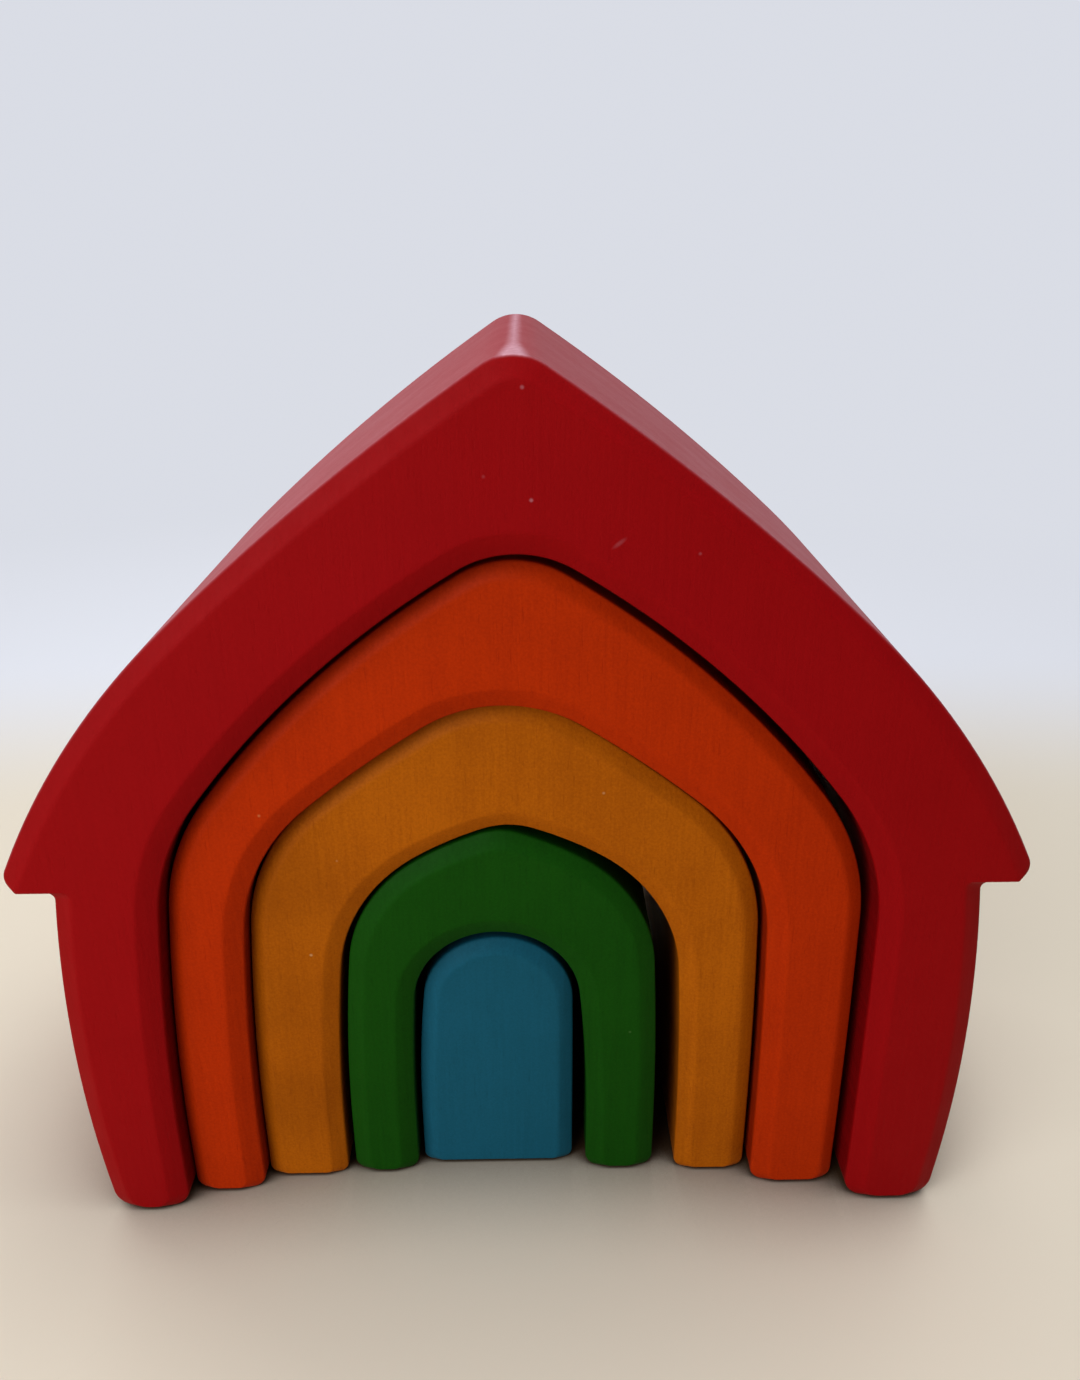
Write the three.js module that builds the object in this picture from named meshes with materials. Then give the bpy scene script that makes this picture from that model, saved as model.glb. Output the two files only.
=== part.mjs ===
// Nesting toy house: a house, three arches and a door block, sawn one inside the other from one plank
// and stained in rainbow colours. Millimetres, z up. The front faces -y and the pieces slide along y.
// Sizes are worked out from the door outwards, so that every piece fits the one around it.
import * as THREE from 'three';

// Plank
const PLANK_THICKNESS = 74; // front to back of every piece
const BEVEL_DEPTH = 1.3; // how far each face bevel runs back along y
const SOLE_BEVEL = 0.8; // softened edge under the feet and the eaves
const LEG_BELLY_HEIGHT = 12; // legs bow outwards, and stand upright at this height

// Door block
const DOOR_WIDTH = 27; // where its round top begins
const DOOR_HEIGHT = 51.7;
const DOOR_LEFT_SPREAD = 1.5; // how far the side bows out below its round top
const DOOR_RIGHT_SPREAD = 0.1;
const DOOR_SIDE_PLAY = 1.3; // to the opening on each side, where its round top begins
const DOOR_TOP_PLAY = 2.6;
const DOOR_SIDE_GAP = 1.4; // to the left leg around it
const DOOR_SET_BACK = 2.1; // behind the front of the green arch
const DOOR_BEVEL = 2.7; // width of the bevel on the front and back faces
const DOOR_FOOT_ROUND = 1.4;

// Green arch
const GREEN_LEG = 12.2; // thickness at the shoulder
const GREEN_CROWN = 20.3; // wood above the opening
const GREEN_OPENING_SHIFT = -1; // sideways, from the middle of the arch
const GREEN_OPENING_LEFT_SPREAD = 1;
const GREEN_OPENING_RIGHT_SPREAD = 1.4;
const GREEN_LEFT_SPREAD = 1.9; // how far the leg bows out below its shoulder
const GREEN_RIGHT_SPREAD = 1;
const GREEN_CREST_RADIUS = 10;
const GREEN_CREST_ANGLE = 18.9; // degrees down from level, where the crest meets the flank
const GREEN_FLANK_RADIUS = 56;
const GREEN_SHOULDER_RADIUS = 27;
const GREEN_PLAY = 2.8; // to the opening round it, on each side
const GREEN_TOP_PLAY = 1.4;
const GREEN_SIDE_GAP = 1.4;
const GREEN_SET_BACK = 0.6;
const GREEN_BEVEL = 3;
const GREEN_OPENING_BEVEL = 3.2;
const GREEN_FOOT_ROUND = 1.6;

// Yellow arch
const YELLOW_LEG = 14;
const YELLOW_CROWN = 22;
const YELLOW_OPENING_SHIFT = 0.7;
const YELLOW_LEFT_SPREAD = 2.1;
const YELLOW_RIGHT_SPREAD = 0.9;
const YELLOW_CREST_RADIUS = 22.8;
const YELLOW_CREST_ANGLE = 32.4;
const YELLOW_FLANK_RADIUS = 181;
const YELLOW_SHOULDER_RADIUS = 34.2;
const YELLOW_PLAY = 0.6;
const YELLOW_TOP_PLAY = 1;
const YELLOW_SIDE_GAP = 0.3;
const YELLOW_SET_BACK = 3.3;
const YELLOW_BEVEL = 2.7;
const YELLOW_OPENING_BEVEL = 2.9;
const YELLOW_FOOT_ROUND = 1.4;

// Orange arch
const ORANGE_LEG = 13.8;
const ORANGE_CROWN = 23.3;
const ORANGE_OPENING_SHIFT = -1.7;
const ORANGE_LEFT_SPREAD = 2.8;
const ORANGE_RIGHT_SPREAD = 0.6;
const ORANGE_CREST_RADIUS = 15.4;
const ORANGE_CREST_ANGLE = 31.1;
const ORANGE_FLANK_RADIUS = 152;
const ORANGE_SHOULDER_RADIUS = 39.6;
const ORANGE_PLAY = 1;
const ORANGE_TOP_PLAY = 1.9;
const ORANGE_SIDE_GAP = 0.3;
const ORANGE_SET_BACK = 4;
const ORANGE_BEVEL = 2.5;
const ORANGE_OPENING_BEVEL = 3.8;
const ORANGE_FOOT_ROUND = 1.8;

// Red house
const HOUSE_WALL = 18.2; // from the opening's shoulder out to the belly of the bowed wall
const HOUSE_CROWN = 27.3; // wood between the opening and the ridge
const WALL_BOW_RADIUS = 260;
const WALL_BELLY_HEIGHT = 33;
const RIDGE_ROUND = 8;
const ROOF_PITCH = 33.5; // degrees, at the ridge
const EAVE_PITCH = 63; // degrees, at the eave
const ROOF_FULLNESS = 0.333; // length of the roof curve's handles, as a share of the slope
const EAVE_OVERHANG = 5.1; // past the belly of the wall
const EAVE_HEIGHT = 68.6; // underside of the eave above the floor
const EAVE_TIP_ROUND = 3;
const EAVE_CORNER_ROUND = 1.2; // hollow corner between eave and wall
const HOUSE_BEVEL = 3;
const HOUSE_OPENING_BEVEL = 3.8;
const HOUSE_FOOT_ROUND = 3.2;
const HOUSE_INNER_FOOT_ROUND = 2.6;

// Stains
const BLUE = 0x2079a8;
const GREEN = 0x2f7d16;
const YELLOW = 0xd08a14;
const ORANGE = 0xd8500c;
const RED = 0xb3151c;
const STAIN_ROUGHNESS = 0.6;

// Facets
const ARC_STEPS = 8;
const CORNER_STEPS = 4;
const ROOF_STEPS = 16;
const LEAST_ROUND = 0.5; // of a corner that its bevel has nearly used up

// Sizes that follow from the ones above
const DOOR_HALF = DOOR_WIDTH / 2;
const GREEN_OPENING_RADIUS = DOOR_HALF + DOOR_SIDE_PLAY;
const GREEN_OPENING_HEIGHT = DOOR_HEIGHT + DOOR_TOP_PLAY;
const GREEN_HALF = GREEN_OPENING_RADIUS + GREEN_LEG;
const GREEN_HEIGHT = GREEN_OPENING_HEIGHT + GREEN_CROWN;
const YELLOW_HALF = GREEN_HALF + GREEN_PLAY + YELLOW_LEG;
const YELLOW_HEIGHT = GREEN_HEIGHT + GREEN_TOP_PLAY + YELLOW_CROWN;
const ORANGE_HALF = YELLOW_HALF + YELLOW_PLAY + ORANGE_LEG;
const ORANGE_HEIGHT = YELLOW_HEIGHT + YELLOW_TOP_PLAY + ORANGE_CROWN;
const HOUSE_HALF = ORANGE_HALF + ORANGE_PLAY + HOUSE_WALL;
const HOUSE_HEIGHT = ORANGE_HEIGHT + ORANGE_TOP_PLAY + HOUSE_CROWN;

// Outlines lie in the x-z plane and run clockwise seen from the front. A heading is the direction in
// which an outline runs, turned clockwise from +x: level over the crest, down the wall, back under the sole.
const LEVEL = 0;
const DOWN = Math.PI / 2;
const BACK = Math.PI;
const UP = 1.5 * Math.PI;

const radians = THREE.MathUtils.degToRad;

// The point at a distance from a centre, to the left of a heading, which is the outside of the wood
function outside(centre, heading, distance) {
  return new THREE.Vector2(
    centre.x + distance * Math.sin(heading),
    centre.y + distance * Math.cos(heading),
  );
}

// Points of an arc between two headings. A negative radius makes a hollow arc.
function arc(centre, radius, from, to, steps) {
  const points = [];
  for (let i = 0; i <= steps; i += 1) {
    points.push(outside(centre, from + ((to - from) * i) / steps, radius));
  }
  return points;
}

// Saw lines are lists of tangent arcs about fixed centres, so a change of all radii is a parallel line.
// The two sides of a saw line have the same top, and legs that bow out by different spreads.

// Bowed leg that runs on from the last arc of a top, and is upright at the belly height
function bowed(top, spread) {
  const shoulder = top.at(-1);
  const drop = shoulder.centre.y - LEG_BELLY_HEIGHT;
  const lean = 2 * Math.atan(spread / drop);
  const grow = drop / Math.sin(lean);
  const start = DOWN - lean;
  return [
    ...top.slice(0, -1),
    { ...shoulder, to: start },
    {
      centre: outside(shoulder.centre, start, -grow),
      radius: shoulder.radius + grow,
      from: start,
      to: DOWN,
    },
  ];
}

function sawLine(top, leftSpread, rightSpread) {
  return { left: bowed(top, leftSpread), right: bowed(top, rightSpread) };
}

// Pointed top: a crest, two long flanks and two shoulders that end upright
function gable({ half, height, crestRadius, crestAngle, flankRadius, shoulderRadius }) {
  const crest = radians(crestAngle);
  const reach = half - shoulderRadius + (flankRadius - crestRadius) * Math.sin(crest);
  const shoulder = Math.asin(reach / (flankRadius - shoulderRadius));
  const crestCentre = new THREE.Vector2(0, height - crestRadius);
  const flankCentre = outside(crestCentre, crest, crestRadius - flankRadius);
  const shoulderCentre = outside(flankCentre, shoulder, flankRadius - shoulderRadius);
  return [
    { centre: crestCentre, radius: crestRadius, from: LEVEL, to: crest },
    { centre: flankCentre, radius: flankRadius, from: crest, to: shoulder },
    { centre: shoulderCentre, radius: shoulderRadius, from: shoulder, to: DOWN },
  ];
}

// Round top: half a circle
function roundTop(radius, height) {
  return [{ centre: new THREE.Vector2(0, height - radius), radius, from: LEVEL, to: DOWN }];
}

// Points of one side of a saw line, moved outwards by a distance
function sawPoints(arcs, grow) {
  const points = [];
  for (const { centre, radius, from, to } of arcs) {
    const stretch = arc(centre, radius + grow, from, to, ARC_STEPS);
    points.push(...(points.length ? stretch.slice(1) : stretch));
  }
  return points;
}

// Radius of a corner inside a bevel
function insetRound(round, inset) {
  return Math.max(round - inset, LEAST_ROUND);
}

// Outside of an arch or the door, from its crest down to the sole, inset by a bevel
function archOutside(line, footRound) {
  return (inset, sole, side) => {
    const points = sawPoints(line[side], -inset);
    const round = insetRound(footRound, inset);
    const centre = new THREE.Vector2(points.at(-1).x - round, sole + round);
    return [...points, ...arc(centre, round, DOWN, BACK, CORNER_STEPS)];
  };
}

// Opening of an arch, from its crest down to the sole, on one side of its own middle. It follows the line
// of the piece inside it, with play to the side and over the top.
function opening(line, sidePlay, topPlay, footRound) {
  const rise = topPlay - sidePlay;
  return (inset, sole, side, shift) => {
    const points = sawPoints(line[side], sidePlay + inset);
    const round = insetRound(footRound, inset);
    const centre = new THREE.Vector2(points.at(-1).x + round, sole + round - rise);
    const corner = arc(centre, round, UP, BACK, CORNER_STEPS);
    return [...points, ...corner].map((p) => new THREE.Vector2(p.x + shift, p.y + rise));
  };
}

// Where a circle that touches the bowed wall has its centre, given the distance to the bow's centre
function besideWall(bowCentre, distance, height) {
  const rise = height - bowCentre.y;
  return {
    centre: new THREE.Vector2(bowCentre.x + Math.sqrt(distance ** 2 - rise ** 2), height),
    heading: Math.acos(rise / distance),
  };
}

// Outside of the house: rounded ridge, curved roof, eave and bowed wall
function houseOutside(inset, sole) {
  const ridgeCentre = new THREE.Vector2(0, HOUSE_HEIGHT - RIDGE_ROUND);
  const ridge = arc(ridgeCentre, RIDGE_ROUND - inset, LEVEL, radians(ROOF_PITCH), CORNER_STEPS);

  const tipRound = insetRound(EAVE_TIP_ROUND, inset);
  const tipX = HOUSE_HALF + EAVE_OVERHANG - inset;
  const underside = EAVE_HEIGHT + sole;
  const tipCentre = new THREE.Vector2(tipX - tipRound, underside + tipRound);
  const tip = arc(tipCentre, tipRound, radians(EAVE_PITCH), BACK, CORNER_STEPS);

  const roofTop = ridge.at(-1);
  const roofFoot = tip[0];
  const handle = roofTop.distanceTo(roofFoot) * ROOF_FULLNESS;
  const roof = new THREE.CubicBezierCurve(
    roofTop,
    outside(roofTop, radians(ROOF_PITCH) + DOWN, handle),
    outside(roofFoot, radians(EAVE_PITCH) - DOWN, handle),
    roofFoot,
  ).getPoints(ROOF_STEPS);

  const bowCentre = new THREE.Vector2(HOUSE_HALF - WALL_BOW_RADIUS, WALL_BELLY_HEIGHT);
  const bow = WALL_BOW_RADIUS - inset;
  const footRound = insetRound(HOUSE_FOOT_ROUND, inset);
  const hollow = besideWall(bowCentre, bow + EAVE_CORNER_ROUND, underside - EAVE_CORNER_ROUND);
  const foot = besideWall(bowCentre, bow - footRound, sole + footRound);
  return [
    ...ridge,
    ...roof.slice(1, -1),
    ...tip,
    ...arc(hollow.centre, -EAVE_CORNER_ROUND, BACK, hollow.heading, CORNER_STEPS),
    ...arc(bowCentre, bow, hollow.heading, foot.heading, ARC_STEPS).slice(1),
    ...arc(foot.centre, footRound, foot.heading, BACK, CORNER_STEPS).slice(1),
  ];
}

// Whole outline of a piece at a share of its bevels: 0 is the saw line, 1 is the rim of the flat face.
// The left half is drawn as a right half, with the opening shifted the other way, and then mirrored.
function outline(piece, share) {
  const sole = share * SOLE_BEVEL;
  const half = (side, shift) => {
    const outer = piece.outside(share * piece.bevel, sole, side);
    if (!piece.opening) return outer;
    return [...outer, ...piece.opening(share * piece.openingBevel, sole, side, shift).reverse()];
  };
  const right = half('right', piece.shift);
  const left = half('left', -piece.shift).map((p) => new THREE.Vector2(-p.x, p.y));
  const shared = piece.opening ? -1 : left.length;
  return [...right, ...left.slice(1, shared).reverse()];
}

// Solid lofted through outlines from front to back, closed by flat faces
function loft(rings) {
  const count = rings[0].points.length;
  const positions = rings.flatMap(({ points, y }) => points.flatMap((p) => [p.x, y, p.y]));
  const triangles = [];
  for (let ring = 0; ring < rings.length - 1; ring += 1) {
    for (let i = 0; i < count; i += 1) {
      const a = ring * count + i;
      const b = ring * count + ((i + 1) % count);
      triangles.push(a, b, b + count, a, b + count, a + count);
    }
  }
  const backStart = (rings.length - 1) * count;
  const front = rings[0].points;
  for (const [i, j, k] of THREE.ShapeUtils.triangulateShape(front, [])) {
    const turned = THREE.ShapeUtils.isClockWise([front[i], front[j], front[k]]);
    const [p, q] = turned ? [k, j] : [j, k];
    triangles.push(i, p, q, backStart + i, backStart + q, backStart + p);
  }
  const geometry = new THREE.BufferGeometry();
  geometry.setAttribute('position', new THREE.Float32BufferAttribute(positions, 3));
  geometry.setIndex(triangles);
  geometry.computeVertexNormals();
  return geometry;
}

// One sawn piece, bevelled on its front and back faces, with its front at y = 0
function sawnPiece(name, color, piece) {
  const face = outline(piece, 1);
  const body = outline(piece, 0);
  const geometry = loft([
    { points: face, y: 0 },
    { points: body, y: BEVEL_DEPTH },
    { points: body, y: PLANK_THICKNESS - BEVEL_DEPTH },
    { points: face, y: PLANK_THICKNESS },
  ]);
  const stain = new THREE.MeshStandardMaterial({ color, roughness: STAIN_ROUGHNESS, metalness: 0 });
  const mesh = new THREE.Mesh(geometry, stain);
  mesh.name = name;
  return mesh;
}

const doorLine = sawLine(roundTop(DOOR_HALF, DOOR_HEIGHT), DOOR_LEFT_SPREAD, DOOR_RIGHT_SPREAD);
const greenOpeningLine = sawLine(
  roundTop(GREEN_OPENING_RADIUS, GREEN_OPENING_HEIGHT),
  GREEN_OPENING_LEFT_SPREAD,
  GREEN_OPENING_RIGHT_SPREAD,
);
const greenTop = gable({
  half: GREEN_HALF,
  height: GREEN_HEIGHT,
  crestRadius: GREEN_CREST_RADIUS,
  crestAngle: GREEN_CREST_ANGLE,
  flankRadius: GREEN_FLANK_RADIUS,
  shoulderRadius: GREEN_SHOULDER_RADIUS,
});
const greenLine = sawLine(greenTop, GREEN_LEFT_SPREAD, GREEN_RIGHT_SPREAD);
const yellowTop = gable({
  half: YELLOW_HALF,
  height: YELLOW_HEIGHT,
  crestRadius: YELLOW_CREST_RADIUS,
  crestAngle: YELLOW_CREST_ANGLE,
  flankRadius: YELLOW_FLANK_RADIUS,
  shoulderRadius: YELLOW_SHOULDER_RADIUS,
});
const yellowLine = sawLine(yellowTop, YELLOW_LEFT_SPREAD, YELLOW_RIGHT_SPREAD);
const orangeTop = gable({
  half: ORANGE_HALF,
  height: ORANGE_HEIGHT,
  crestRadius: ORANGE_CREST_RADIUS,
  crestAngle: ORANGE_CREST_ANGLE,
  flankRadius: ORANGE_FLANK_RADIUS,
  shoulderRadius: ORANGE_SHOULDER_RADIUS,
});
const orangeLine = sawLine(orangeTop, ORANGE_LEFT_SPREAD, ORANGE_RIGHT_SPREAD);

const door = sawnPiece('blue_door', BLUE, {
  outside: archOutside(doorLine, DOOR_FOOT_ROUND),
  bevel: DOOR_BEVEL,
  shift: 0,
});
const green = sawnPiece('green_arch', GREEN, {
  outside: archOutside(greenLine, GREEN_FOOT_ROUND),
  bevel: GREEN_BEVEL,
  opening: opening(greenOpeningLine, 0, 0, GREEN_FOOT_ROUND),
  openingBevel: GREEN_OPENING_BEVEL,
  shift: GREEN_OPENING_SHIFT,
});
const yellow = sawnPiece('yellow_arch', YELLOW, {
  outside: archOutside(yellowLine, YELLOW_FOOT_ROUND),
  bevel: YELLOW_BEVEL,
  opening: opening(greenLine, GREEN_PLAY, GREEN_TOP_PLAY, YELLOW_FOOT_ROUND),
  openingBevel: YELLOW_OPENING_BEVEL,
  shift: YELLOW_OPENING_SHIFT,
});
const orange = sawnPiece('orange_arch', ORANGE, {
  outside: archOutside(orangeLine, ORANGE_FOOT_ROUND),
  bevel: ORANGE_BEVEL,
  opening: opening(yellowLine, YELLOW_PLAY, YELLOW_TOP_PLAY, ORANGE_FOOT_ROUND),
  openingBevel: ORANGE_OPENING_BEVEL,
  shift: ORANGE_OPENING_SHIFT,
});
const house = sawnPiece('red_house', RED, {
  outside: houseOutside,
  bevel: HOUSE_BEVEL,
  opening: opening(orangeLine, ORANGE_PLAY, ORANGE_TOP_PLAY, HOUSE_INNER_FOOT_ROUND),
  openingBevel: HOUSE_OPENING_BEVEL,
  shift: 0,
});

// A group for each piece holds the pieces inside it. Each stands close to the left leg around it, set back.
function nest(mesh, x, setBack, inner = []) {
  const group = new THREE.Group();
  group.position.set(x, setBack, 0);
  group.add(mesh, ...inner);
  return group;
}

const doorGroup = nest(door, GREEN_OPENING_SHIFT - (DOOR_SIDE_PLAY - DOOR_SIDE_GAP), DOOR_SET_BACK);
const greenGroup = nest(
  green, YELLOW_OPENING_SHIFT - (GREEN_PLAY - GREEN_SIDE_GAP), GREEN_SET_BACK, [doorGroup],
);
const yellowGroup = nest(
  yellow, ORANGE_OPENING_SHIFT - (YELLOW_PLAY - YELLOW_SIDE_GAP), YELLOW_SET_BACK, [greenGroup],
);
const orangeGroup = nest(orange, -(ORANGE_PLAY - ORANGE_SIDE_GAP), ORANGE_SET_BACK, [yellowGroup]);

// The origin is on the floor, in the middle of the space that the nested set takes up.
const deepest = ORANGE_SET_BACK + YELLOW_SET_BACK + GREEN_SET_BACK + DOOR_SET_BACK;
const set = nest(house, 0, -(PLANK_THICKNESS + deepest) / 2, [orangeGroup]);

export default set;
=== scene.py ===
# %% [markdown]
# # A nesting toy house in stained wood
# The toy is five loose blocks, sawn one inside the other from one thick plank: a red house, an orange, a
# yellow and a green arch, and a blue door block. The imported CAD model already has each block at its real
# size and place. Here each block is modelled again with finer curves and softly sanded edges, and gets a
# finish of its own. The CAD blocks are kept, hidden, and each new block's size is printed beside its CAD
# box.

# %% Load the frame
import math

import bmesh
import bpy
from mathutils import Matrix, Vector


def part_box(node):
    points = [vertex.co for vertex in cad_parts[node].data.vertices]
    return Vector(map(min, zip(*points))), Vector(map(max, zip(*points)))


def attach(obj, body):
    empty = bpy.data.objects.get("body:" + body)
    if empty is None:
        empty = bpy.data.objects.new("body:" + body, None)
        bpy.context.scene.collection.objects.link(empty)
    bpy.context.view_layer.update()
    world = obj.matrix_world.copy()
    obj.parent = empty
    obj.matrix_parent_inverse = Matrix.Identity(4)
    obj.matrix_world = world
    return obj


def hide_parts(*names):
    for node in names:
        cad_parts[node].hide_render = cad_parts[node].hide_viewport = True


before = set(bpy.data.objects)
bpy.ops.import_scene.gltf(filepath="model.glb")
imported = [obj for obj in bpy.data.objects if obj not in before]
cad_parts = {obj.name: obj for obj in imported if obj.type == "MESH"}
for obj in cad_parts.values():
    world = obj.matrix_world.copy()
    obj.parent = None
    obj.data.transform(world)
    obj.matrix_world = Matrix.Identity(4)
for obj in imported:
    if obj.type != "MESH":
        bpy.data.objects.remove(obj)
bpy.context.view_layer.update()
bpy.context.scene.view_settings.view_transform = "Standard"
print("nodes:", sorted(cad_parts))

# %% [markdown]
# ## Drawing a saw line
# A maker draws such an outline with a compass and a ruler: arcs that run into each other without a kink,
# and straight legs. A Bezier curve could trace it too, but arcs have an advantage: when every radius
# changes by the same amount, the new line runs parallel to the old one, which is how the bevels are made
# later. So a pencil point, one vertex, is spun about each arc's centre and extruded along each straight. A
# positive radius turns it clockwise, as round the outside of an arch, and a negative one turns it the other
# way.

# %% A pencil that draws arcs and straights
MM = 0.001
SAG = 0.008 * MM  # how far the middle of a drawn segment may lie off its arc
WELD = 0.005 * MM  # points closer than this become one


def facets(radius, degrees):
    """Number of segments that keeps an arc looking round."""
    return math.ceil(math.radians(degrees) / (2 * math.acos(1 - SAG / radius)))


class Pencil:
    """One vertex on the move, in the x-z plane. Its heading is turned clockwise from +x."""

    def __init__(self, height, y):
        bpy.ops.object.select_all(action="DESELECT")
        bpy.ops.mesh.primitive_circle_add(vertices=3, radius=MM)
        bpy.ops.object.mode_set(mode="EDIT")
        bpy.ops.mesh.select_mode(type="VERT")
        bpy.ops.mesh.merge(type="CENTER")
        bpy.ops.transform.translate(value=(0, y, height))
        self.ring = bpy.context.object
        self.place = Vector((0, y, height))
        self.heading = 0.0

    def arc(self, radius, degrees, segments):
        turn = math.copysign(math.radians(degrees), radius)
        out = Vector((math.sin(self.heading), 0, math.cos(self.heading)))
        centre = self.place - radius * out
        bpy.ops.mesh.spin(steps=segments, angle=turn, center=centre, axis=(0, -1, 0))
        self.heading += turn
        self.place = centre + radius * Vector((math.sin(self.heading), 0, math.cos(self.heading)))

    def straight(self, length):
        move = length * Vector((math.cos(self.heading), 0, -math.sin(self.heading)))
        bpy.ops.mesh.extrude_region_move(TRANSFORM_OT_translate={"value": move})
        self.place += move

    def close(self):
        bpy.ops.mesh.select_all(action="SELECT")
        bpy.ops.mesh.remove_doubles(threshold=WELD)
        bpy.ops.object.mode_set(mode="OBJECT")
        return self.ring


def draw(steps, height, y):
    """Closed ring from a list of steps: a number is a straight, a tuple is an arc."""
    pencil = Pencil(height, y)
    for step in steps:
        if isinstance(step, tuple):
            pencil.arc(*step)
        else:
            pencil.straight(step)
    return pencil.close()


print("pencil ready: an arc of 40 mm through 45 degrees takes", facets(40 * MM, 45), "segments")

# %% [markdown]
# ## The sanded edge
# Each block has a shallow bevel round its front and back faces, about 3 mm wide and little over 1 mm deep,
# and both of its edges are rubbed soft. The Bevel tool gives equal widths on both sides and trips over
# tight corners, so the edge is drawn as a profile instead: pairs of how far a ring lies inside the saw
# line, and how far it lies behind the face. The last rings hold the side wall flat up to the middle of the
# plank.

# %% Profile of the edge
PLANK = 74 * MM
BEVEL_DEPTH = 1.3 * MM
FACE_SOFTNESS = 2.2 * MM  # radius between face and bevel
SIDE_SOFTNESS = 0.5 * MM  # radius between bevel and side wall
HOLD = 0.5 * MM  # from the soft edge to the ring that holds the wall flat
FACE_ROUND_RINGS = 5
SIDE_ROUND_RINGS = 5


def edge_profile(bevel):
    """Pairs of inset and depth, from the front face to the middle of the plank."""
    slope = math.atan2(BEVEL_DEPTH, bevel)
    face_start = bevel + FACE_SOFTNESS * math.tan(slope / 2)
    side_end = BEVEL_DEPTH + SIDE_SOFTNESS * math.tan((math.pi / 2 - slope) / 2)
    pairs = []
    for i in range(FACE_ROUND_RINGS + 1):
        angle = slope * i / FACE_ROUND_RINGS
        pairs.append((
            face_start - FACE_SOFTNESS * math.sin(angle),
            FACE_SOFTNESS * (1 - math.cos(angle)),
        ))
    for i in range(SIDE_ROUND_RINGS + 1):
        angle = slope + (math.pi / 2 - slope) * i / SIDE_ROUND_RINGS
        pairs.append((
            SIDE_SOFTNESS * (1 - math.sin(angle)),
            side_end - SIDE_SOFTNESS * math.cos(angle),
        ))
    return [*pairs, (0, side_end + HOLD), (0, PLANK / 2)]


print("rings from face to middle:", len(edge_profile(3 * MM)))

# %% [markdown]
# ## From rings to a block
# A plank's front and back are alike, so only the front half is made. One ring is drawn for each pair of the
# profile, neighbouring rings are bridged, and the front ring is filled. A small inset keeps the big flat
# face free of the soft edge's shading. The Mirror modifier adds the back half, and the block is moved to
# the place that the CAD model gives. The bevel round an opening has a width of its own, and under the feet
# the bevel nearly runs out, so a saw line takes three insets.

# %% Build a block from its saw line
SOLE_BEVEL = 0.8 * MM  # height of the bevel where it runs out under the feet and the eaves
FACE_INSET = 0.35 * MM
RING_TOLERANCE = 0.002 * MM
SMOOTH_DEGREES = 35  # edges sharper than this stay sharp


def pick_rings(block, depths):
    """Selects the edges that run along the rings at these depths."""
    bpy.ops.mesh.select_all(action="DESELECT")
    mesh = bmesh.from_edit_mesh(block.data)
    for edge in mesh.edges:
        ys = [end.co.y for end in edge.verts]
        off_ring = [abs(ys[0] - depth) + abs(ys[1] - depth) for depth in depths]
        edge.select_set(min(off_ring) < RING_TOLERANCE)
    mesh.select_flush_mode()
    bmesh.update_edit_mesh(block.data)


def sawn_block(name, node, bevel, opening_bevel, saw_line):
    """Block in a CAD node's place. Its outline is saw_line(outer inset, opening's inset, sole's inset)."""
    low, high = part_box(node)
    rings, depths = [], []
    for (outer, depth), (inner, _) in zip(edge_profile(bevel), edge_profile(opening_bevel)):
        sole = SOLE_BEVEL * outer / bevel
        depths.append(depth - PLANK / 2)
        rings.append(draw(saw_line(outer, inner, sole), high.z - outer, depths[-1]))
    for ring in rings:
        ring.select_set(True)
    bpy.ops.object.join()
    block = bpy.context.object
    block.name = name

    bpy.ops.object.mode_set(mode="EDIT")
    bpy.ops.mesh.select_mode(type="EDGE")
    for pair in zip(depths, depths[1:]):
        pick_rings(block, pair)
        bpy.ops.mesh.bridge_edge_loops()
    pick_rings(block, depths[:1])
    bpy.ops.mesh.edge_face_add()
    bpy.ops.mesh.inset(thickness=FACE_INSET)
    bpy.ops.object.mode_set(mode="OBJECT")

    mirror = block.modifiers.new("back half", "MIRROR")
    mirror.use_axis = (False, True, False)
    mirror.merge_threshold = WELD
    bpy.ops.object.modifier_apply(modifier=mirror.name)

    xs = [point[0] for point in block.bound_box]
    sideways = (low.x + high.x - min(xs) - max(xs)) / 2
    bpy.ops.object.mode_set(mode="EDIT")
    bpy.ops.mesh.select_all(action="SELECT")
    bpy.ops.mesh.normals_make_consistent(inside=False)
    bpy.ops.transform.translate(value=(sideways, (low.y + high.y) / 2, 0))
    bpy.ops.object.mode_set(mode="OBJECT")
    bpy.ops.object.shade_smooth_by_angle(angle=math.radians(SMOOTH_DEGREES))
    size = [round(side / MM, 2) for side in block.dimensions]
    print(name, "size in mm:", size, "CAD:", [round(side / MM, 2) for side in high - low])
    print(name, "vertices:", len(block.data.vertices))
    return block


# %% [markdown]
# ## Legs
# A saw line starts level at its crest and ends in two legs. On the real toy no leg is straight: each runs
# on from the arc above it in one long, shallow bow, and stands upright only near the floor. The left and
# the right leg spread by different amounts, so a line is kept as its two sides. A leg's radius follows from
# its spread.

# %% Saw lines with bowed legs
LEFT, RIGHT = -1, 1
LEG_BELLY = 12 * MM  # height at which a leg stands upright
LEAST_ROUND = 0.5 * MM  # radius that feet and eave tips keep
CORNER_SHRINK = 0.2  # mm off a foot's radius for each mm of inset


def bend(radius, degrees, change):
    """One arc of a saw line, moved parallel by a change of radius. A negative radius is a hollow arc."""
    return (radius + change, degrees, facets(abs(radius), degrees))


def corner(radius, inset):
    """Rounded foot, a little smaller inside a bevel, but never sharp."""
    return (max(radius - CORNER_SHRINK * inset, LEAST_ROUND), 90, facets(radius, 90))


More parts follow.
